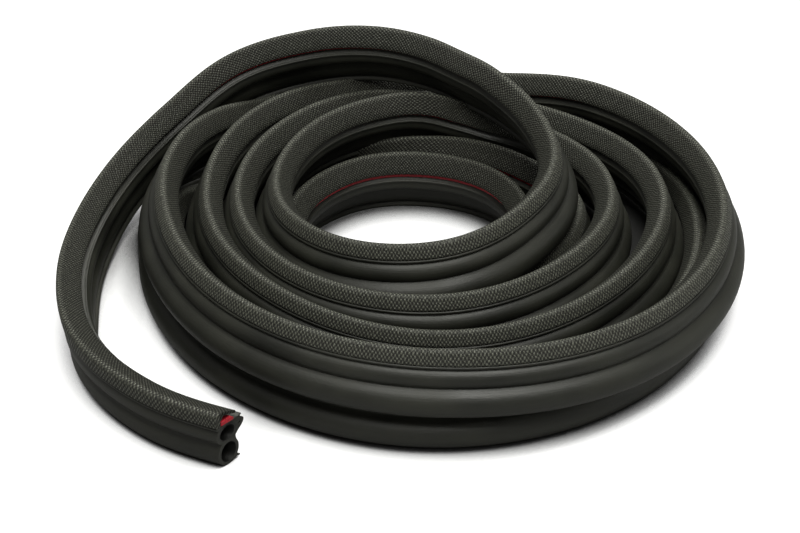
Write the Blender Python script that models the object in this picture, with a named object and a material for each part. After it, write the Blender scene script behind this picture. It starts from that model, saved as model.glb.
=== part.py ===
"""A door seal as it is sold: one length of extruded rubber, coiled by hand into a loose hank.

Its section has a grained grip cap on top, whose channel opens towards the middle of the coil, a red
liner in that channel, and below it two soft hollow bulbs, one over the other, with a small hollow lip.
The hank lies on a level floor: an outer turn and some hidden turns below, four leaning turns on top of
them, and the free end of the seal loose around the left side. Sizes are in millimetres, angles in degrees.
"""
import math

import bmesh
import bpy
from mathutils import Vector
from mathutils.geometry import tessellate_polygon

for item in list(bpy.data.objects):
    bpy.data.objects.remove(item, do_unlink=True)

MM = 0.001

# The section. A place in it is (in, up): "in" points to the middle of the coil, "up" from the underside.
JOINT_GAP = 0.45                      # between two rubbers that touch along the whole length
WALL = 1.8                            # of both bulbs
LOWER_BULB = (-0.3, 8.2, 7.0, 8.2)    # middle in, middle up, half width, half height
UPPER_BULB = (-0.2, 21.4, 7.2, 6.8)
BULB_TOP = 27.9                       # floor of the channel, at its outer side
CHANNEL_FALL = 0.6                    # the channel's floor drops by this much towards its mouth
WAIST_OUTER = (-5.4, 16.0)            # between the two bulbs
LIP_REACH = 8.8                       # of the small lip, pressed between two turns
LIP_LOW = 19.0
LIP_HIGH = 24.6
LIP_WALL = 1.2
CAP_TOP = 37.6
CAP_HALF_WIDTH = 7.4
CAP_WALL = 3.6                        # of the cap at its crown
CAP_BACK = -4.1                       # inner face of the cap's outer leg
MOUTH = 2.6                           # width of the channel's mouth
LINER_THICKNESS = 1.9

# The way the seal is wound. Each row is a place on the way, from the free cut end inwards: the angle
# turned from the rear of the coil, clockwise from above, how far the seal lies outside the coil's usual
# radius, the height of its underside, and its lean, which is how far its top tilts to the middle.
COIL_RADIUS = 120
ROUTE = (
    # The free end on the floor, and the loose loop that climbs over the rear of the coil.
    (-148, 83, 0, -3), (-135, 92, 0, -2), (-120, 93, 0, -6), (-105, 81, 0, -12), (-90, 73, 2, -6),
    (-75, 65, 10, 2), (-60, 57, 20, 8), (-45, 47, 35.7, 14), (-30, 28, 46.5, 19), (-15, 8, 53, 22),
    # The innermost turn, which lies highest.
    (0, -9, 53, 22), (12, -22, 52, 22), (24, -31.5, 52, 22), (37, -38, 51, 24), (54, -42, 48, 25),
    (72, -44, 45, 25), (90, -44, 42, 25), (135, -45, 37, 24), (180, -34, 34, 22), (225, -24, 30, 22),
    (270, -22, 24, 22), (315, -23, 25.5, 22),
    # The second turn.
    (335, -23.5, 25.5, 22), (350, -23, 24.6, 22), (363, -21.5, 18.8, 22), (380, -19, 13, 22),
    (405, -16, 12, 22), (450, -13, 17, 22), (495, -14, 19, 22), (540, -7, 19, 22), (585, -2, 19, 22),
    (630, -0.5, 18, 22), (675, -1, 18.5, 22), (695, 0, 16, 22),
    # The third turn.
    (715, 1, 10, 22), (740, 3, 9, 22), (765, 7, 10, 22), (810, 16, 16, 22), (855, 13, 13, 22),
    (900, 16, 13, 22), (945, 16, 18, 22), (990, 17, 19, 22), (1010, 17, 22, 22), (1035, 18, 20, 22),
    (1055, 18.5, 14.5, 22),
    # The fourth turn, which leans on the outer turn of the floor.
    (1080, 19.5, 12, 22), (1100, 21, 15, 22), (1125, 27, 24, 22), (1170, 47, 24, 23),
    (1215, 55, 24, 24), (1260, 47, 24, 24), (1305, 44, 25, 24), (1335, 43, 26, 26), (1350, 43, 27, 26),
    (1365, 42, 26, 26), (1380, 41, 19, 26), (1395, 40.5, 7.3, 26), (1410, 45, 2.5, 26),
    (1425, 50, 0, 28),
    # The outer turn on the floor, which dives under the others at the rear of the coil.
    (1440, 58, 0, 36), (1463, 66, 0, 58), (1485, 64, 0, 76), (1508, 55, 0, 60), (1530, 45, 0, 38),
    (1575, 44, 0, 34), (1620, 44, 0, 34), (1665, 43, 0, 34), (1708, 46, 0, 36), (1724, 54, 0, 58),
    (1740, 46, 0, 80), (1756, 28, 0, 84), (1772, 6, 0, 73), (1786, -14, 0, 49),
    # The inner turns on the floor, up to the hidden cut end.
    (1800, -31, 0, 25), (1814, -34, 0, 21), (1845, -35, 0, 20), (1880, -30, 0, 20), (1905, -35, 0, 20),
    (1935, -42, 0, 20), (1980, -42, 0, 20), (2025, -34, 0, 20), (2070, -30, 0, 20), (2115, -40, 0, 20),
    (2160, -53, 0, 20), (2205, -58, 0, 20), (2250, -61, 0, 20), (2286, -63, 0, 20),
)
RING_STEP = 18                        # angle between two rings of the coil
TWIST_STEP = 9                        # change of lean between two rings that asks for one more


def oval(bulb, first, last, count, inset=0.0):
    """Points on a bulb's outline, from one angle to another; 0 is its inner side and 90 its top."""
    middle_in, middle_up, half_width, half_height = bulb
    points = []
    for k in range(count):
        angle = math.radians(first + (last - first) * k / (count - 1))
        points.append((middle_in + (half_width - inset) * math.cos(angle),
                       middle_up + (half_height - inset) * math.sin(angle)))
    return points


def channel_floor(inward):
    """Height of the channel's floor, which falls gently to the mouth."""
    return BULB_TOP - CHANNEL_FALL * (inward + CAP_HALF_WIDTH) / (2 * CAP_HALF_WIDTH)


mouth_in = UPPER_BULB[0] + UPPER_BULB[2] - 1.4
bulb_outline = (
    [(-5.2, channel_floor(-5.2))]
    + oval(UPPER_BULB, 155, 215, 3)
    + [WAIST_OUTER]
    + oval(LOWER_BULB, 150, 390, 8)
    + [(5.2, 16.4)]
    + [(LIP_REACH - 0.6, LIP_LOW), (LIP_REACH, LIP_HIGH - 2.0), (mouth_in + 0.9, BULB_TOP - 1.6)]
    + [(mouth_in, channel_floor(mouth_in))]
)
upper_hollow = oval(UPPER_BULB, 90, 378, 5, WALL + 0.3)
lower_hollow = oval(LOWER_BULB, 90, 378, 5, WALL)
lip_hollow = [
    (LIP_REACH - LIP_WALL, LIP_HIGH - 2.4),
    (LIP_REACH - 0.5 - LIP_WALL, LIP_LOW + LIP_WALL + 0.3),
    (LIP_REACH - 1.4 - LIP_WALL, LIP_HIGH - 2.8),
]

cap_foot = channel_floor(-CAP_HALF_WIDTH) + JOINT_GAP
cap_tip = (mouth_in + 0.1, channel_floor(mouth_in) + MOUTH)
cap_outline = [
    (-6.0, cap_foot),
    (-CAP_HALF_WIDTH, cap_foot + 2.2),
    (-CAP_HALF_WIDTH, CAP_TOP - 4.4),
    (-5.8, CAP_TOP - 1.4),
    (-2.8, CAP_TOP),
    (0.2, CAP_TOP - 0.6),
    (3.4, CAP_TOP - 2.9),
    (cap_tip[0] + 0.5, cap_tip[1] + 1.4),
    cap_tip,
    (1.8, CAP_TOP - CAP_WALL - 1.4),
    (-1.8, CAP_TOP - CAP_WALL),
    (CAP_BACK - 0.1, cap_foot + 3.2),
    (CAP_BACK, cap_foot),
]

liner_back = CAP_BACK + JOINT_GAP
liner_outline = [
    (liner_back, channel_floor(liner_back) + JOINT_GAP),
    (mouth_in - 0.1, channel_floor(mouth_in - 0.1) + JOINT_GAP),
    (mouth_in - 0.3, channel_floor(mouth_in) + JOINT_GAP + LINER_THICKNESS),
    (2.2, channel_floor(2.2) + JOINT_GAP + LINER_THICKNESS + 0.8),
    (liner_back, channel_floor(liner_back) + JOINT_GAP + LINER_THICKNESS + 0.6),
]


def route_at(angle):
    """Way outward, height and lean at an angle, on a smooth curve through the rows of the route."""
    last = len(ROUTE) - 1
    i = 0
    while i < last - 1 and ROUTE[i + 1][0] <= angle:
        i += 1
    before, here, there, after = (ROUTE[max(i - 1, 0)], ROUTE[i], ROUTE[i + 1], ROUTE[min(i + 2, last)])
    span = there[0] - here[0]
    s = (angle - here[0]) / span
    values = []
    for column in (1, 2, 3):
        slope_here = (there[column] - before[column]) / (there[0] - before[0]) * span
        slope_there = (after[column] - here[column]) / (after[0] - here[0]) * span
        values.append((2 * s**3 - 3 * s**2 + 1) * here[column] + (s**3 - 2 * s**2 + s) * slope_here
                      + (3 * s**2 - 2 * s**3) * there[column] + (s**3 - s**2) * slope_there)
    return values


def ring_angles():
    """The angles of the rings: both ends, every whole step between them, and half steps in a twist."""
    first, last = ROUTE[0][0], ROUTE[-1][0]
    angles = [first]
    step = math.floor(first / RING_STEP) + 1
    while step * RING_STEP < last:
        angle = step * RING_STEP
        if abs(route_at(angle)[2] - route_at(angles[-1])[2]) > TWIST_STEP:
            angles.append((angles[-1] + angle) / 2)
        angles.append(angle)
        step += 1
    return angles + [last]


def lean_over(point, lean):
    """A place in the section once the seal leans: how far in, and how far up."""
    turn = math.radians(lean)
    return (point[0] * math.cos(turn) + point[1] * math.sin(turn),
            point[1] * math.cos(turn) - point[0] * math.sin(turn))


def put(point, angle):
    """A place in the section, at an angle of the route, as a place in the room (millimetres)."""
    outward, height, lean = route_at(angle)
    radius = COIL_RADIUS + outward
    lowest = min(lean_over(corner, lean)[1] for corner in bulb_outline)
    inward, up = lean_over(point, lean)
    around = math.radians(90 - angle)
    return Vector(((radius - inward) * math.cos(around), (radius - inward) * math.sin(around),
                   max(height, 0.0) + up - lowest))


# The hank stands on z = 0, with the middle of its outline over the origin.
corners = [put(point, angle) for angle in ring_angles() for point in bulb_outline + cap_outline]
middle = Vector(((min(c.x for c in corners) + max(c.x for c in corners)) / 2,
                 (min(c.y for c in corners) + max(c.y for c in corners)) / 2, 0))


def sweep(name, outline, hollows, colour, roughness):
    """One rubber of the seal: its outline and hollows carried along the whole route, with two cut ends."""
    loops = [outline] + hollows
    angles = ring_angles()
    vertices = []
    for angle in angles:
        for loop in loops:
            vertices.extend((put(point, angle) - middle) * MM for point in loop)
    ring = sum(len(loop) for loop in loops)
    faces = []
    for row in range(len(angles) - 1):
        start = row * ring
        for loop in loops:
            count = len(loop)
            for k in range(count):
                a, b = start + k, start + (k + 1) % count
                # Every strip is cut the same way, so that two rubbers that touch stay apart in a twist.
                if loop[k] < loop[(k + 1) % count]:
                    faces.extend(((a, b, b + ring), (a, b + ring, a + ring)))
                else:
                    faces.extend(((a, b, a + ring), (b, b + ring, a + ring)))
            start += count
    flat_loops = [[Vector((point[0], point[1], 0)) for point in loop] for loop in loops]
    cut = tessellate_polygon(flat_loops)
    end = (len(angles) - 1) * ring
    for a, b, c in cut:
        faces.append((a, b, c))
        faces.append((end + a, end + c, end + b))
    mesh = bpy.data.meshes.new(name)
    mesh.from_pydata(vertices, [], faces)
    mesh.validate()
    material = bpy.data.materials.new(name)
    material.use_nodes = True
    shader = material.node_tree.nodes["Principled BSDF"]
    shader.inputs["Base Color"].default_value = colour
    shader.inputs["Roughness"].default_value = roughness
    mesh.materials.append(material)
    piece = bpy.data.objects.new(name, mesh)
    bpy.context.collection.objects.link(piece)
    return piece


bulb_hollows = [upper_hollow, lower_hollow, lip_hollow]
seal = sweep("double_bulb", bulb_outline, bulb_hollows, (0.02, 0.02, 0.02, 1), 0.45)
cap = sweep("grip_cap", cap_outline, [], (0.035, 0.035, 0.033, 1), 0.8)
liner = sweep("channel_liner", liner_outline, [], (0.35, 0.02, 0.03, 1), 0.6)

# Each skin faces outwards and is smooth along the seal, with sharp cut ends.
for piece in (seal, cap, liner):
    work = bmesh.new()
    work.from_mesh(piece.data)
    bmesh.ops.recalc_face_normals(work, faces=work.faces)
    if work.calc_volume(signed=True) < 0:
        bmesh.ops.reverse_faces(work, faces=work.faces)
    work.to_mesh(piece.data)
    work.free()
    piece.data.shade_smooth()
    piece.data.set_sharp_from_angle(angle=math.radians(50))
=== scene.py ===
"""The looks of a coiled door seal: grained grip cap, red channel liner and satin double bulb."""
import math

import bmesh
import bpy
import numpy as np
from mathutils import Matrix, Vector
from mathutils.geometry import tessellate_polygon


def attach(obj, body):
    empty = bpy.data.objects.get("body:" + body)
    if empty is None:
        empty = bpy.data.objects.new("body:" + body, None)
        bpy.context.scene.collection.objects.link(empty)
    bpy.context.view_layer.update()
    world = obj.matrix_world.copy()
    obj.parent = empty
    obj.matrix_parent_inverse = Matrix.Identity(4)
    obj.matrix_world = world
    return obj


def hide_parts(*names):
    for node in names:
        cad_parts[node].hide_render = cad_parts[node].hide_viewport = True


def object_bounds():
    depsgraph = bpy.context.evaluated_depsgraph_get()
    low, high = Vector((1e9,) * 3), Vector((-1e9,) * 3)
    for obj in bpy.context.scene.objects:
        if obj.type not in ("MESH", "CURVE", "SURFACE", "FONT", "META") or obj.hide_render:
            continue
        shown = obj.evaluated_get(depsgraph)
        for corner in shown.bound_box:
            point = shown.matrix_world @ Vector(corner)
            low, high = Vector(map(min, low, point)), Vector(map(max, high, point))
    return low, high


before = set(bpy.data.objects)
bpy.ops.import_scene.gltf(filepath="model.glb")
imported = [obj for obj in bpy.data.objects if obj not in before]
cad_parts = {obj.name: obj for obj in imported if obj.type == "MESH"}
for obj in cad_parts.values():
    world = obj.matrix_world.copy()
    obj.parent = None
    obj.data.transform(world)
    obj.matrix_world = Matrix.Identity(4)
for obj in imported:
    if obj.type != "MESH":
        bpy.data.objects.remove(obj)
cad_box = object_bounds()

# The double bulb: soft black sponge rubber with a smooth satin skin, extruded as two hollow tubes, one
# over the other, with a small hollow lip. It is the body of the seal, so the way that the whole seal is
# wound stands here: one length of about 5 m, coiled by hand into a loose hank on the floor.
MM = 0.001
# Each row of the route is the angle turned from the rear of the coil, clockwise from above, then how far
# the seal lies outside the coil's usual radius, the height of its underside, and its lean to the middle,
# all in degrees and millimetres.
COIL_RADIUS = 120
ROUTE = np.array((
    # The free end on the floor, and the loose loop that climbs over the rear of the coil.
    (-148, 83, 0, -3), (-135, 92, 0, -2), (-120, 93, 0, -6), (-105, 81, 0, -12), (-90, 73, 2, -6),
    (-75, 65, 10, 2), (-60, 57, 20, 8), (-45, 47, 35.7, 14), (-30, 28, 46.5, 19), (-15, 8, 53, 22),
    # The innermost turn, which lies highest.
    (0, -9, 53, 22), (12, -22, 52, 22), (24, -31.5, 52, 22), (37, -38, 51, 24), (54, -42, 48, 25),
    (72, -44, 45, 25), (90, -44, 42, 25), (135, -45, 37, 24), (180, -34, 34, 22), (225, -24, 30, 22),
    (270, -22, 24, 22), (315, -23, 25.5, 22),
    # The second turn.
    (335, -23.5, 25.5, 22), (350, -23, 24.6, 22), (363, -21.5, 18.8, 22), (380, -19, 13, 22),
    (405, -16, 12, 22), (450, -13, 17, 22), (495, -14, 19, 22), (540, -7, 19, 22), (585, -2, 19, 22),
    (630, -0.5, 18, 22), (675, -1, 18.5, 22), (695, 0, 16, 22),
    # The third turn.
    (715, 1, 10, 22), (740, 3, 9, 22), (765, 7, 10, 22), (810, 16, 16, 22), (855, 13, 13, 22),
    (900, 16, 13, 22), (945, 16, 18, 22), (990, 17, 19, 22), (1010, 17, 22, 22), (1035, 18, 20, 22),
    (1055, 18.5, 14.5, 22),
    # The fourth turn, which leans on the outer turn of the floor.
    (1080, 19.5, 12, 22), (1100, 21, 15, 22), (1125, 27, 24, 22), (1170, 47, 24, 23),
    (1215, 55, 24, 24), (1260, 47, 24, 24), (1305, 44, 25, 24), (1335, 43, 26, 26), (1350, 43, 27, 26),
    (1365, 42, 26, 26), (1380, 41, 19, 26), (1395, 40.5, 7.3, 26), (1410, 45, 2.5, 26),
    (1425, 50, 0, 28),
    # The outer turn on the floor, which dives under the others at the rear of the coil.
    (1440, 58, 0, 36), (1463, 66, 0, 58), (1485, 64, 0, 76), (1508, 55, 0, 60), (1530, 45, 0, 38),
    (1575, 44, 0, 34), (1620, 44, 0, 34), (1665, 43, 0, 34), (1708, 46, 0, 36), (1724, 54, 0, 58),
    (1740, 46, 0, 80), (1756, 28, 0, 84), (1772, 6, 0, 73), (1786, -14, 0, 49),
    # The inner turns on the floor, up to the hidden cut end.
    (1800, -31, 0, 25), (1814, -34, 0, 21), (1845, -35, 0, 20), (1880, -30, 0, 20), (1905, -35, 0, 20),
    (1935, -42, 0, 20), (1980, -42, 0, 20), (2025, -34, 0, 20), (2070, -30, 0, 20), (2115, -40, 0, 20),
    (2160, -53, 0, 20), (2205, -58, 0, 20), (2250, -61, 0, 20), (2286, -63, 0, 20),
), dtype=float)
ROUTE_STEP = 1.0                       # degrees between two points of the line that the seal follows
# The section is drawn in millimetres, inwards from its middle and up from its underside.
LOWER_BULB = (-0.3, 8.2, 7.0, 8.2)     # middle in, middle up, half width, half height
UPPER_BULB = (-0.2, 21.4, 7.2, 6.8)
LOWER_WALL = 1.9
UPPER_WALL = 2.3
HOLLOW_POINTS = 15                     # round each hollow
BEAD = (-6.45, 27.35, 0.75, 0.75)      # the rolled ridge under the cap's outer foot
BACK_EDGE = -5.2                       # of the channel's floor, over the bead
CHANNEL_FLOOR_OUTER = 27.9             # height of the channel's floor at its outer side
CHANNEL_FALL = 0.6                     # of that floor, over the width of the section
SECTION_HALF_WIDTH = 7.4
MOUTH_SETBACK = 1.4                    # of the channel's mouth, behind the upper bulb's inner side
WAIST = ((-4.7, 16.3), (-4.1, 15.9), (-4.5, 15.4))
FOOT_FLAP = ((4.3, 1.3), (6.9, 0.5), (7.2, 1.3), (5.2, 2.9))
LIP = ((5.25, 14.2), (5.0, 15.9), (6.3, 17.4), (8.2, 19.0), (8.8, 21.4), (8.0, 23.6), (7.1, 25.2))
LIP_BEAD = ((7.9, 25.7), (7.7, 26.6), (6.4, 26.5))
LIP_HOLLOW = ((7.6, 22.2), (7.1, 20.5), (6.2, 21.8))
LIP_HOLLOW_TOP = (6.9, 22.3)


def along_route(angles):
    """Way outward, height and lean at each angle, on a smooth curve through the rows of the route."""
    turned = ROUTE[:, 0]
    i = np.clip(np.searchsorted(turned, angles, side="right") - 1, 0, len(turned) - 2)
    before, here, there, after = (ROUTE[np.clip(i + k, 0, len(turned) - 1)] for k in (-1, 0, 1, 2))
    span = there[:, :1] - here[:, :1]
    s = (angles[:, None] - here[:, :1]) / span
    slope_here = (there - before)[:, 1:] / (there - before)[:, :1] * span
    slope_there = (after - here)[:, 1:] / (after - here)[:, :1] * span
    return ((2 * s**3 - 3 * s**2 + 1) * here[:, 1:] + (s**3 - 2 * s**2 + s) * slope_here
            + (3 * s**2 - 2 * s**3) * there[:, 1:] + (s**3 - s**2) * slope_there)


def oval(bulb, first, last, count, inset=0.0):
    """Points on a bulb's outline, from one angle to another; 0 is its inner side and 90 its top."""
    middle_in, middle_up, half_width, half_height = bulb
    angles = np.radians(np.linspace(first, last, count))
    return list(zip(middle_in + (half_width - inset) * np.cos(angles),
                    middle_up + (half_height - inset) * np.sin(angles)))


def hollow(bulb, wall):
    """Points round the hollow that a bulb's wall leaves, from its top and once round."""
    return oval(bulb, 90, 450 - 360 / HOLLOW_POINTS, HOLLOW_POINTS, wall)


def channel_floor(inward):
    """Height of the channel's floor, which falls gently to the mouth."""
    return CHANNEL_FLOOR_OUTER - CHANNEL_FALL * (inward + SECTION_HALF_WIDTH) / (2 * SECTION_HALF_WIDTH)


def rounded(corners):
    """A chain of corners with each corner between its two ends cut into two, as a moulded edge is."""
    chain = [corners[0]]
    for a, b in zip(corners[:-1], corners[1:]):
        chain.append((0.75 * a[0] + 0.25 * b[0], 0.75 * a[1] + 0.25 * b[1]))
        chain.append((0.25 * a[0] + 0.75 * b[0], 0.25 * a[1] + 0.75 * b[1]))
    return chain + [corners[-1]]


mouth_in = UPPER_BULB[0] + UPPER_BULB[2] - MOUTH_SETBACK
mouth_floor = channel_floor(mouth_in)
bulb_outline = (
    [(BACK_EDGE, channel_floor(BACK_EDGE))]
    + oval(BEAD, 95, 250, 6)
    + oval(UPPER_BULB, 140, 226, 11)
    + rounded(WAIST)
    + oval(LOWER_BULB, 129, 306, 24)
    + rounded(FOOT_FLAP)
    + oval(LOWER_BULB, 322, 393, 9)
    + rounded(LIP)
    + rounded(LIP_BEAD)
    + [(mouth_in, mouth_floor)]
)
lip_hollow = rounded(LIP_HOLLOW)[1:-1] + [LIP_HOLLOW_TOP]

# The line that the seal follows: the underside's own middle, turn after turn, with the lean as its tilt.
route_angles = np.arange(ROUTE[0, 0], ROUTE[-1, 0] + ROUTE_STEP / 2, ROUTE_STEP)
outward, height, lean = along_route(route_angles).T
tilt = np.radians(lean)
around = np.radians(90 - route_angles)
section = np.array(bulb_outline)
lowest = (section[:, 1] * np.cos(tilt)[:, None] - section[:, 0] * np.sin(tilt)[:, None]).min(axis=1)
out = np.stack([np.cos(around), np.sin(around), np.zeros_like(around)], axis=1)
up = np.array([0.0, 0.0, 1.0])
inwards = -out * np.cos(tilt)[:, None] - up * np.sin(tilt)[:, None]
upwards = -out * np.sin(tilt)[:, None] + up * np.cos(tilt)[:, None]
underside = out * (COIL_RADIUS + outward)[:, None] + up * (np.maximum(height, 0) - lowest)[:, None]
outside = (underside[:, None] + section[None, :, :1] * inwards[:, None]
           + section[None, :, 1:] * upwards[:, None]).reshape(-1, 3) * MM
# The coil's axis stands where the hank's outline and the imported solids' outline have the same middle.
coil_axis = np.array([(cad_box[0][k] + cad_box[1][k]) / 2 - (outside[:, k].min() + outside[:, k].max()) / 2
                      for k in (0, 1)] + [0.0])
underside = underside * MM + coil_axis

line = bpy.data.curves.new("seal_route", "CURVE")
line.dimensions = "3D"
line.twist_mode = "Z_UP"
spline = line.splines.new("POLY")
spline.points.add(len(underside) - 1)
spline.points.foreach_set("co", np.column_stack([underside, np.ones(len(underside))]).ravel())
spline.points.foreach_set("tilt", tilt)
seal_route = bpy.data.objects.new("seal_route", line)
bpy.context.collection.objects.link(seal_route)


def node(tree, kind, settings=(), **inputs):
    """A new node, with its settings, and its inputs as values or as other nodes' outputs."""
    new = tree.nodes.new(kind)
    for name, value in dict(settings).items():
        setattr(new, name, value)
    for name, value in inputs.items():
        wanted = name.replace("_", " ")
        socket = next(s for s in new.inputs
                      if s.enabled and wanted in (s.name, s.identifier.replace("_", " ")))
        if isinstance(value, bpy.types.NodeSocket):
            tree.links.new(value, socket)
        else:
            socket.default_value = value
    return new


def maths(tree, operation, *values):
    """The result of a Math node on up to three values."""
    inputs = dict(zip(("Value", "Value_001", "Value_002"), values))
    return node(tree, "ShaderNodeMath", {"operation": operation}, **inputs).outputs[0]


def vector_maths(tree, operation, vector, second=None):
    """The result of a Vector Math node on one vector, and on a second or a scale where it takes one."""
    inputs = {"Vector": vector}
    if second is not None:
        inputs["Scale" if operation == "SCALE" else "Vector_001"] = second
    new = node(tree, "ShaderNodeVectorMath", {"operation": operation}, **inputs)
    return new.outputs["Value" if operation in ("LENGTH", "DISTANCE") else "Vector"]


# The extrusion: a section, drawn flat, is drawn out along the seal's line and closed by two cut ends.
# Its skin keeps where it lies: how far along the seal, and how far in and up in the section.
WELD = 0.00001                         # metres: the walls and the cut ends are merged where they meet
WAVERS_PER_METRE = 11.0
LINER_FRONT = 0.003                    # what lies further in than this is pressed back with the liner
LIP_FOOT = 0.0052                      # the lip stands out from here
LIP_TIP = 0.0088                       # to here
WAIST_UP = 0.0165                      # between the bulbs, above the underside
CUT_REACH = 0.015                      # metres along the seal that the slanted cut takes
extrusion = bpy.data.node_groups.new("extruded_along_the_route", "GeometryNodeTree")
for name, kind in (("Section", "NodeSocketGeometry"), ("Route", "NodeSocketObject"),
                   ("Ring Spacing", "NodeSocketFloat"), ("Waver", "NodeSocketFloat"),
                   ("Recess", "NodeSocketFloat"), ("Recess Ends", "NodeSocketFloat"),
                   ("Flare", "NodeSocketFloat"), ("Flare Ends", "NodeSocketFloat"),
                   ("Cut Slope", "NodeSocketFloat"), ("Rubber", "NodeSocketMaterial")):
    extrusion.interface.new_socket(name, in_out="INPUT", socket_type=kind)
extrusion.interface.new_socket("Seal", in_out="OUTPUT", socket_type="NodeSocketGeometry")
given = extrusion.nodes.new("NodeGroupInput").outputs


def marked(geometry, name, kind, value):
    """The geometry with a value kept on each of its points, under a name."""
    return node(extrusion, "GeometryNodeStoreNamedAttribute", {"data_type": kind}, Geometry=geometry,
                Name=name, Value=value).outputs[0]


def mark(name, kind):
    """The value that each point keeps under a name."""
    return node(extrusion, "GeometryNodeInputNamedAttribute", {"data_type": kind}, Name=name).outputs[0]


route_line = node(extrusion, "GeometryNodeObjectInfo", Object=given["Route"]).outputs["Geometry"]
rings = node(extrusion, "GeometryNodeResampleCurve", {"mode": "LENGTH"}, Curve=route_line,
             Length=given["Ring Spacing"]).outputs[0]
normal = node(extrusion, "GeometryNodeInputNormal").outputs[0]
tangent = node(extrusion, "GeometryNodeInputTangent").outputs[0]
rings = marked(rings, "along", "FLOAT", node(extrusion, "GeometryNodeSplineParameter").outputs["Length"])
rings = marked(rings, "inwards", "FLOAT_VECTOR", normal)
rings = marked(rings, "onwards", "FLOAT_VECTOR", tangent)
flat_section = marked(given["Section"], "place", "FLOAT_VECTOR",
                      node(extrusion, "GeometryNodeInputPosition").outputs[0])
faces_at_edge = node(extrusion, "GeometryNodeInputMeshEdgeNeighbors").outputs[0]
at_rim = node(extrusion, "FunctionNodeCompare", {"data_type": "INT", "operation": "EQUAL"},
              A_INT=faces_at_edge, B_INT=1).outputs[0]
rims = node(extrusion, "GeometryNodeMeshToCurve", Mesh=flat_section, Selection=at_rim).outputs[0]
walls = node(extrusion, "GeometryNodeCurveToMesh", Curve=rings, Profile_Curve=rims).outputs[0]
facing = node(extrusion, "FunctionNodeAxesToRotation", {"primary_axis": "Z", "secondary_axis": "X"},
              Primary_Axis=tangent, Secondary_Axis=normal).outputs[0]
at_ends = node(extrusion, "GeometryNodeCurveEndpointSelection").outputs[0]
cuts = node(extrusion, "GeometryNodeInstanceOnPoints", Points=rings, Instance=flat_section,
            Selection=at_ends, Rotation=facing).outputs[0]
cuts = node(extrusion, "GeometryNodeRealizeInstances", Geometry=cuts).outputs[0]
cuts_and_walls = node(extrusion, "GeometryNodeJoinGeometry")
extrusion.links.new(cuts, cuts_and_walls.inputs[0])
extrusion.links.new(walls, cuts_and_walls.inputs[0])
seal = node(extrusion, "GeometryNodeMergeByDistance", Geometry=cuts_and_walls.outputs[0],
            Distance=WELD).outputs[0]
along = mark("along", "FLOAT")
in_section = node(extrusion, "ShaderNodeSeparateXYZ", Vector=mark("place", "FLOAT_VECTOR")).outputs
inward = in_section["X"]
downward = in_section["Y"]
# The soft skin wavers a little, the liner sits further back in the turns that were pressed shut, and
# the lip stands out at the free end, where no other turn presses on it.
drift = node(extrusion, "ShaderNodeTexNoise", {"noise_dimensions": "1D"}, W=along, Scale=WAVERS_PER_METRE,
             Detail=2.0).outputs[0]
drift = node(extrusion, "ShaderNodeMapRange", Value=drift, To_Min=-1.0).outputs[0]
drift = maths(extrusion, "MULTIPLY", drift, given["Waver"])
pressed_shut = maths(extrusion, "LESS_THAN", along, given["Recess Ends"])
at_front = maths(extrusion, "GREATER_THAN", inward, LINER_FRONT)
recess = maths(extrusion, "MULTIPLY", maths(extrusion, "MULTIPLY", pressed_shut, at_front), given["Recess"])
flare = node(extrusion, "ShaderNodeMapRange", {"interpolation_type": "SMOOTHSTEP"}, Value=along,
             From_Max=given["Flare Ends"], To_Min=given["Flare"], To_Max=0.0).outputs[0]
on_lip = node(extrusion, "ShaderNodeMapRange", Value=inward, From_Min=LIP_FOOT, From_Max=LIP_TIP).outputs[0]
above_waist = maths(extrusion, "LESS_THAN", downward, -WAIST_UP)
moved_in = maths(extrusion, "MULTIPLY_ADD", maths(extrusion, "MULTIPLY", flare, on_lip), above_waist,
                 maths(extrusion, "SUBTRACT", drift, recess))
moved_in = vector_maths(extrusion, "SCALE", mark("inwards", "FLOAT_VECTOR"), moved_in)
seal = node(extrusion, "GeometryNodeSetPosition", Geometry=seal, Offset=moved_in).outputs[0]
# The free end was cut by hand, a little aslant: the mouth's side is longer than the back.
slope = node(extrusion, "ShaderNodeMapRange", {"interpolation_type": "SMOOTHSTEP"}, Value=along,
             From_Max=CUT_REACH, To_Min=given["Cut Slope"], To_Max=0.0).outputs[0]
moved_on = vector_maths(extrusion, "SCALE", mark("onwards", "FLOAT_VECTOR"),
                        maths(extrusion, "MULTIPLY", inward, slope))
seal = node(extrusion, "GeometryNodeSetPosition", Geometry=seal, Offset=moved_on).outputs[0]
lies_at = node(extrusion, "ShaderNodeCombineXYZ", X=along, Y=inward,
               Z=maths(extrusion, "MULTIPLY", downward, -1.0)).outputs[0]
seal = marked(seal, "seal_skin", "FLOAT_VECTOR", lies_at)
seal = node(extrusion, "GeometryNodeRealizeInstances", Geometry=seal).outputs[0]
seal = node(extrusion, "GeometryNodeSetMaterial", Geometry=seal, Material=given["Rubber"]).outputs[0]
node(extrusion, "NodeGroupOutput", Seal=seal)

CUT_SLOPE = -0.36                      # of the free end, against a square cut
SHARP_EDGE = 60                        # degrees: a steeper edge, such as a cut's, isn't shaded smooth


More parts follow.
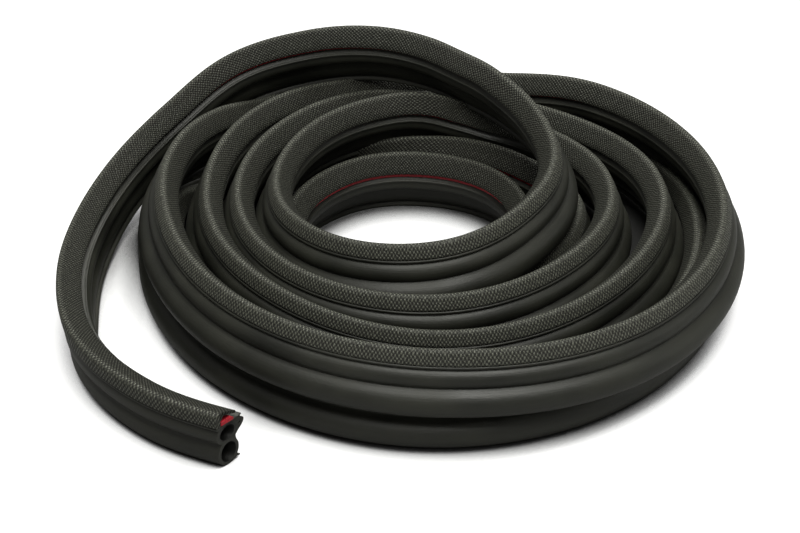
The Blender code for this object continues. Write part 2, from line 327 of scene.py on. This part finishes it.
def extruded(name, loops, material, ring_spacing, **shaped):
    """One rubber of the seal: its section, loops and all, extruded by the tree into a plain closed mesh."""
    drawn = [[Vector((x, y, 0)) for x, y in loop] for loop in loops]
    flat = bpy.data.meshes.new(name)
    flat.from_pydata([(x * MM, -y * MM, 0) for loop in loops for x, y in loop], [],
                     tessellate_polygon(drawn))
    piece = bpy.data.objects.new(name, flat)
    bpy.context.collection.objects.link(piece)
    die = piece.modifiers.new("extruded_along_the_route", "NODES")
    die.node_group = extrusion
    values = {"Route": seal_route, "Ring Spacing": ring_spacing, "Rubber": material, "Waver": 0.0,
              "Recess": 0.0, "Recess Ends": 0.0, "Flare": 0.0, "Flare Ends": 1.0, "Cut Slope": CUT_SLOPE}
    values.update({key.replace("_", " ").title(): value for key, value in shaped.items()})
    for item in extrusion.interface.items_tree:
        if item.in_out == "INPUT" and item.name in values:
            die[item.identifier] = values[item.name]
    graph = bpy.context.evaluated_depsgraph_get()
    mesh = bpy.data.meshes.new_from_object(piece.evaluated_get(graph), preserve_all_data_layers=True,
                                           depsgraph=graph)
    piece.modifiers.clear()
    piece.data = mesh
    shell = bmesh.new()
    shell.from_mesh(mesh)
    bmesh.ops.recalc_face_normals(shell, faces=shell.faces)
    shell.to_mesh(mesh)
    shell.free()
    mesh.shade_smooth()
    mesh.set_sharp_from_angle(angle=math.radians(SHARP_EDGE))
    return piece


def new_rubber(name):
    """A new rubber: its material, its tree, its shader, and where each place on the skin lies."""
    material = bpy.data.materials.new(name)
    material.use_nodes = True
    tree = material.node_tree
    shader = tree.nodes["Principled BSDF"]
    skin = node(tree, "ShaderNodeAttribute", {"attribute_name": "seal_skin"}).outputs["Vector"]
    return material, tree, shader, skin


def noise(tree, place, scale, detail, **more):
    """A soft noise over the places that it is given; its scale is in waves to the metre."""
    return node(tree, "ShaderNodeTexNoise", Vector=place, Scale=scale, Detail=detail, **more).outputs[0]


def ramp(tree, source, stops):
    """A colour ramp on a value: each stop is a place and a colour."""
    new = node(tree, "ShaderNodeValToRGB", Fac=source)
    while len(new.color_ramp.elements) < len(stops):
        new.color_ramp.elements.new(0.5)
    for element, (place, colour) in zip(new.color_ramp.elements, stops):
        element.position = place
        element.color = (*colour, 1)
    return new.outputs["Color"]


def grey(value):
    """A neutral colour, as a ramp takes it."""
    return (value, value, value)


# The skin of the bulbs is satin, with clouds of a deeper and a more faded black, fine lines that the die
# drew along it, and small pores. The inside of the two hollows is painted darker than the skin: painted
# shade.
DEEP_BLACK = (0.006, 0.0065, 0.0045)
FADED_BLACK = (0.018, 0.0185, 0.013)
CLOUDS_PER_METRE = 28
HOLLOW_PAINTED_SHADE = 0.12
HOLLOW_EDGE = 0.77                     # of a bulb's radius: all of its hollow lies nearer to its middle
DRAW_LINES_PER_METRE = (60, 1500, 1500)
PORES_PER_METRE = 520
satin, tree, shader, skin = new_rubber("satin_sponge_rubber")
cloud = noise(tree, node(tree, "ShaderNodeTexCoord").outputs["Object"], CLOUDS_PER_METRE, 5)
black = ramp(tree, cloud, ((0.3, DEEP_BLACK), (0.75, FADED_BLACK)))
for middle_in, middle_up, half_width, half_height in (LOWER_BULB, UPPER_BULB):
    from_middle = vector_maths(tree, "SUBTRACT", skin, (0, middle_in * MM, middle_up * MM))
    in_radii = vector_maths(tree, "MULTIPLY", from_middle,
                            (0, 1 / (half_width * MM), 1 / (half_height * MM)))
    # Painted shade: the inside of each hollow is darkened.
    shade_in_hollow = ramp(tree, vector_maths(tree, "LENGTH", in_radii),
                     ((HOLLOW_EDGE, grey(HOLLOW_PAINTED_SHADE)), (HOLLOW_EDGE + 0.02, grey(1.0))))
    black = vector_maths(tree, "MULTIPLY", black, shade_in_hollow)
tree.links.new(black, shader.inputs["Base Color"])
tree.links.new(ramp(tree, cloud, ((0.3, grey(0.45)), (0.75, grey(0.6)))), shader.inputs["Roughness"])
shader.inputs["Specular IOR Level"].default_value = 0.46
stretched = node(tree, "ShaderNodeMapping", Vector=skin, Scale=DRAW_LINES_PER_METRE).outputs[0]
line_bump = node(tree, "ShaderNodeBump", Strength=0.25, Distance=0.0003,
                 Height=noise(tree, stretched, 1, 3)).outputs[0]
pore_bump = node(tree, "ShaderNodeBump", Strength=0.6, Distance=0.00022, Normal=line_bump,
                 Height=noise(tree, skin, PORES_PER_METRE, 4, Roughness=0.65)).outputs[0]
tree.links.new(pore_bump, shader.inputs["Normal"])

BULB_RING_SPACING = 0.0070             # metres along the seal between two rings of the bulbs' skin
BULB_WAVER = 0.00025                   # how far the soft skin strays from its true place
LIP_FLARE = 0.0045                     # how much further the lip stands out at the free end
LIP_FLARE_ENDS = 0.16                  # metres along the seal
double_bulb = extruded("double_bulb_skin", [bulb_outline, hollow(UPPER_BULB, UPPER_WALL),
                                            hollow(LOWER_BULB, LOWER_WALL), lip_hollow], satin,
                       BULB_RING_SPACING, waver=BULB_WAVER, flare=LIP_FLARE, flare_ends=LIP_FLARE_ENDS)
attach(double_bulb, "root")
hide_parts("double_bulb")

# The grip cap: dense black rubber, extruded over the channel with the bulbs, with a grain of slanted
# lozenges rolled into its outside while it is still warm. Its channel opens to the middle of the coil.
CAP_TOP = 37.6
CAP_WALL = 3.6
CAP_BACK = -4.1                        # inner side of its outer wall
MOUTH = 2.9                            # height of the channel's mouth
JOINT_GAP = 0.45                       # between two rubbers
cap_foot = channel_floor(-SECTION_HALF_WIDTH) + JOINT_GAP
cap_tip = (mouth_in + 0.1, mouth_floor + MOUTH)
cap_outside = rounded([
    (-5.4, cap_foot - 0.15), (-7.3, cap_foot - 0.1), (-7.4, cap_foot + 2.0), (-7.2, CAP_TOP - 2.6),
    (-6.6, CAP_TOP - 1.3), (-4.9, CAP_TOP - 0.6), (-3.0, CAP_TOP - 0.7), (3.6, CAP_TOP - 3.7),
    (cap_tip[0] + 0.9, cap_tip[1] + 1.5), cap_tip])
channel_roof = [(1.8, CAP_TOP - CAP_WALL - 1.4), (-1.8, CAP_TOP - CAP_WALL),
                (CAP_BACK - 0.1, cap_foot + 3.2), (CAP_BACK, cap_foot)]

# The grain: rows of lozenges that stray a little, darkest in their grooves and lightest on their tops, some
# worn more than others. The face over the mouth is painted darker and less glossy than the crest and the
# back of the cap: painted shade.
GRAIN_ALONG = 0.0021                   # from one lozenge to the next in its row, along the seal
GRAIN_ACROSS = 0.0025                  # and across it, with a shifted row between
GRAIN_DOWN_BACK = -0.8                 # how height counts across the seal, for the grain on the back
GRAIN_STRAY = 4.5                      # how far a lozenge strays from its place in the row, as an angle
GROOVE_LEVEL = -0.16                   # of an unworn groove, where a lozenge stands 1 higher
GRAIN_WEAR = 0.34                      # how much the wear adds at most
GROOVE_BLACK = (0.005, 0.005, 0.0035)
SLOPE_BLACK = (0.026, 0.027, 0.019)
TOP_GREY = (0.092, 0.095, 0.074)
CREST_BACK = -0.0048                   # the crest of the cap, from its outer to its inner side
CREST_FRONT = -0.0028
FACE_PAINTED_SHADE = 0.5                    # of the face, against the crest
CREST_GLOSS = 0.52
grained, tree, shader, skin = new_rubber("grained_cap_rubber")
on_seal = node(tree, "ShaderNodeSeparateXYZ", Vector=skin).outputs
across = maths(tree, "MULTIPLY_ADD", on_seal["Z"], GRAIN_DOWN_BACK, on_seal["Y"])
stray = maths(tree, "MULTIPLY", noise(tree, skin, 420, 2), GRAIN_STRAY)
along_row, across_rows = (
    maths(tree, "COSINE", maths(tree, "MULTIPLY_ADD", place, 2 * math.pi / lozenge, stray))
    for place, lozenge in ((on_seal["X"], GRAIN_ALONG), (across, GRAIN_ACROSS)))
lozenges = node(tree, "ShaderNodeMapRange", Value=maths(tree, "MULTIPLY", along_row, across_rows),
                From_Min=-1.0, To_Min=GROOVE_LEVEL, To_Max=GROOVE_LEVEL + 1.0).outputs[0]
lozenges = maths(tree, "MULTIPLY_ADD", noise(tree, skin, 900, 2), GRAIN_WEAR, lozenges)
black = ramp(tree, lozenges, ((0.3, GROOVE_BLACK), (0.6, SLOPE_BLACK), (0.95, TOP_GREY)))
# Painted shade: the face over the mouth gets a darker colour and a weaker gloss than the crest and the
# back.
crest_to_face_shade = node(tree, "ShaderNodeMapRange", Value=on_seal["Y"], From_Min=CREST_BACK, From_Max=CREST_FRONT,
              To_Min=1.0, To_Max=FACE_PAINTED_SHADE).outputs[0]
tree.links.new(vector_maths(tree, "SCALE", black, crest_to_face_shade), shader.inputs["Base Color"])
tree.links.new(maths(tree, "MULTIPLY", crest_to_face_shade, CREST_GLOSS), shader.inputs["Specular IOR Level"])
tree.links.new(ramp(tree, lozenges, ((0.4, grey(0.85)), (0.9, grey(0.42)))), shader.inputs["Roughness"])
grain_bump = node(tree, "ShaderNodeBump", Strength=1.0, Distance=0.00045, Height=lozenges).outputs[0]
tree.links.new(grain_bump, shader.inputs["Normal"])

CAP_RING_SPACING = 0.003               # metres along the seal between two rings of the cap's skin
grip_cap = extruded("grip_cap_skin", [cap_outside + channel_roof], grained, CAP_RING_SPACING)
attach(grip_cap, "root")
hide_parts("grip_cap")

# The channel liner: a strip of red rubber along the channel's floor, extruded together with the rest.
# It shows as a thin red line in the mouth of the channel, and bright in the cut end.
LINER_THICKNESS = 1.9
LINER_RING_SPACING = 0.005
LINER_RECESS = 0.0015                  # behind the mouth, in all but the hidden inner turns
LINER_FORWARD_FROM = 4.06              # metres along the seal from which the red shows in full
DEEP_RED = (0.22, 0.004, 0.010)
BRIGHT_RED = (0.52, 0.011, 0.027)
liner_back = CAP_BACK + JOINT_GAP
liner_front = mouth_in - 0.1
liner_underside = [(liner_back, channel_floor(liner_back) + JOINT_GAP),
                   (liner_front, channel_floor(liner_front) + JOINT_GAP)]
liner_top = rounded([
    (liner_front + 0.1, mouth_floor + JOINT_GAP + 1.0),
    (liner_front - 0.2, mouth_floor + JOINT_GAP + LINER_THICKNESS),
    (2.2, channel_floor(2.2) + JOINT_GAP + LINER_THICKNESS + 0.8),
    (liner_back, channel_floor(liner_back) + JOINT_GAP + LINER_THICKNESS + 0.6)])
red, tree, shader, skin = new_rubber("red_liner_rubber")
speckle = noise(tree, skin, 900, 4)
tree.links.new(ramp(tree, speckle, ((0.3, DEEP_RED), (0.7, BRIGHT_RED))), shader.inputs["Base Color"])
shader.inputs["Roughness"].default_value = 0.6
liner_bump = node(tree, "ShaderNodeBump", Strength=0.4, Distance=0.0004, Height=speckle).outputs[0]
tree.links.new(liner_bump, shader.inputs["Normal"])
channel_liner = extruded("channel_liner_skin", [liner_underside + liner_top], red, LINER_RING_SPACING,
                         recess=LINER_RECESS, recess_ends=LINER_FORWARD_FROM)
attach(channel_liner, "root")
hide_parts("channel_liner")
bpy.data.objects.remove(seal_route, do_unlink=True)

# What the seal is photographed on: a plain white paper floor, under soft lamps in front, behind and at
# the right. The floor is in shade close to the seal, and dark below the turns.
FLOOR_HALF_SIDE = 6.0
FLOOR_DROP = 0.0002                    # below the seal's underside
PAPER_GLOW = 0.85                      # lifts the floor to plain white, with faint shadows, as printed
SHADE_REACH = 0.035                    # how near the seal must be for the floor to lie in its shade
FULL_SHADE = 0.27                      # share of the open sky at which the floor is all in shade
NO_SHADE = 0.66
DARK_FROM = 0.086                      # metres from the coil's axis: the floor below the turns starts
DARK_TO = 0.140                        # and ends here
DARK_BLUR = 0.008
floor_mesh = bpy.data.meshes.new("studio_floor")
floor_mesh.from_pydata([(x * FLOOR_HALF_SIDE, y * FLOOR_HALF_SIDE, -FLOOR_DROP)
                        for x, y in ((-1, -1), (1, -1), (1, 1), (-1, 1))], [], [(0, 1, 2, 3)])
floor = bpy.data.objects.new("studio_floor", floor_mesh)
bpy.context.collection.objects.link(floor)
white = bpy.data.materials.new("studio_white")
white.use_nodes = True
tree = white.node_tree
paper = tree.nodes["Principled BSDF"]
paper.inputs["Roughness"].default_value = 0.9
paper.inputs["Emission Color"].default_value = (1, 1, 1, 1)
# Painted shadow: the floor's colour and glow are darkened where the seal is near.
sky = node(tree, "ShaderNodeAmbientOcclusion", Distance=SHADE_REACH).outputs["AO"]
open_sky = node(tree, "ShaderNodeMapRange", {"interpolation_type": "SMOOTHSTEP"}, Value=sky,
                From_Min=FULL_SHADE, From_Max=NO_SHADE).outputs[0]
from_axis = vector_maths(tree, "DISTANCE", node(tree, "ShaderNodeTexCoord").outputs["Object"],
                         tuple(coil_axis))
# Painted shade: the floor below the turns is painted dark, in its colour and in its glow.
beside_turns = ramp(tree, from_axis, ((DARK_FROM - DARK_BLUR, grey(1.0)), (DARK_FROM, grey(0.0)),
                                      (DARK_TO, grey(0.0)), (DARK_TO + DARK_BLUR, grey(1.0))))
lit = maths(tree, "MULTIPLY", open_sky, beside_turns)
seen = node(tree, "ShaderNodeLightPath").outputs["Is Camera Ray"]
glow = maths(tree, "MULTIPLY", maths(tree, "MULTIPLY", seen, lit), PAPER_GLOW)
tree.links.new(glow, paper.inputs["Emission Strength"])
tree.links.new(ramp(tree, lit, ((0.0, grey(0.03)), (1.0, grey(0.3)))), paper.inputs["Base Color"])
floor_mesh.materials.append(white)

LIGHT_COLOUR = (1, 1, 0.94)
SURROUND_STRENGTH = 0.28
world = bpy.data.worlds.new("studio_surround")
world.use_nodes = True
surround = world.node_tree.nodes["Background"]
surround.inputs["Color"].default_value = (*LIGHT_COLOUR, 1)
surround.inputs["Strength"].default_value = SURROUND_STRENGTH
bpy.context.scene.world = world


def softbox(name, place, side, power):
    """A square soft lamp, turned to the coil."""
    lamp = bpy.data.lights.new(name, "AREA")
    lamp.size = side
    lamp.energy = power
    lamp.color = LIGHT_COLOUR
    item = bpy.data.objects.new(name, lamp)
    item.location = place
    item.rotation_euler = (-Vector(place)).to_track_quat("-Z", "Y").to_euler()
    bpy.context.collection.objects.link(item)


softbox("front_top", place=(0.1, -0.58, 1.62), side=0.9, power=31)
softbox("behind", place=(0.05, 0.9, 1.4), side=0.8, power=20)
softbox("right_side", place=(1.5, -0.2, 0.5), side=0.6, power=2)
bpy.context.scene.view_settings.view_transform = "Standard"

# The camera stands in front of the hank and looks down at it, from the photograph's place.
LOOK_DOWN = math.radians(36.0)
DISTANCE = 1.377
AIM_FROM_AXIS = -0.020
LENS = 108.0
SENSOR_WIDTH = 36.0
lens = bpy.data.cameras.new("photo_camera")
lens.lens = LENS
lens.sensor_width = SENSOR_WIDTH
camera = bpy.data.objects.new("photo_camera", lens)
camera.location = (coil_axis[0] + AIM_FROM_AXIS, coil_axis[1] - DISTANCE * math.cos(LOOK_DOWN),
                   DISTANCE * math.sin(LOOK_DOWN))
camera.rotation_euler = (math.pi / 2 - LOOK_DOWN, 0, 0)
bpy.context.collection.objects.link(camera)
bpy.context.scene.camera = camera
